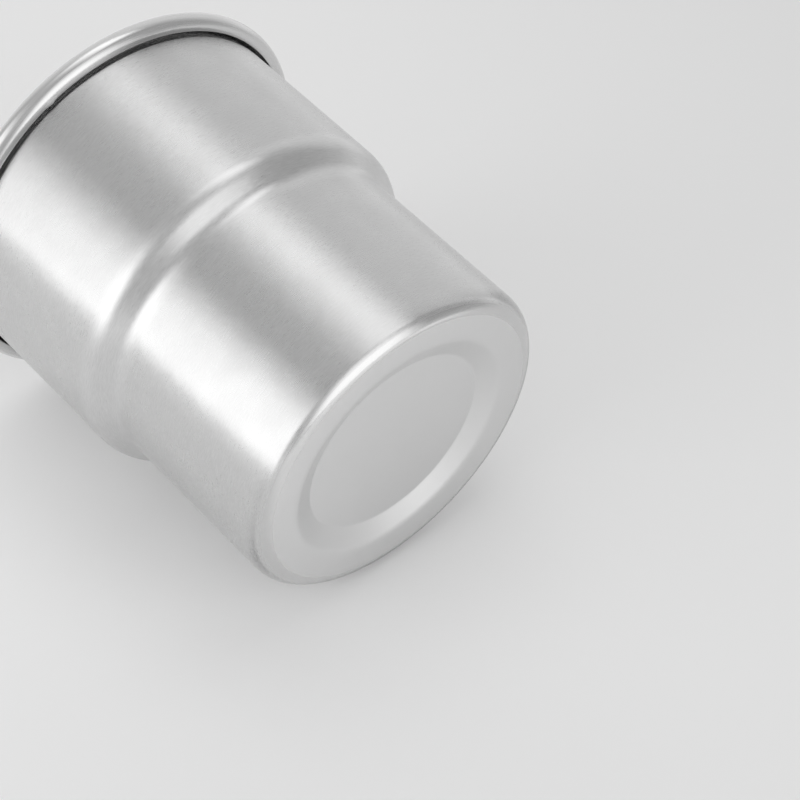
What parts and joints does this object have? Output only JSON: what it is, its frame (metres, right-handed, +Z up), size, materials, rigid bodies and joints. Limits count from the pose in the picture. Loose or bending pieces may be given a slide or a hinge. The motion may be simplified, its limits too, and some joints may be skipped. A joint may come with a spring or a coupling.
{
  "type": "deep drawn metal cup",
  "caption": "Stainless drinking cup drawn from one sheet: straight lower body, soft shoulder step, wider upper body, rolled rim and a raised disc in the base.",
  "frame": {"origin": "centre of the plane that the foot stands on", "axes": "+Z up along the axis of the cup, from the foot to the rim; X and Y are alike"},
  "size_m": [0.0726, 0.0726, 0.0761],
  "materials": {
    "steel": "brushed round the wall, polished on the rolled rim, matte underneath"
  },
  "bodies": {
    "root": {"cup": "steel"}
  },
  "joints": []
}
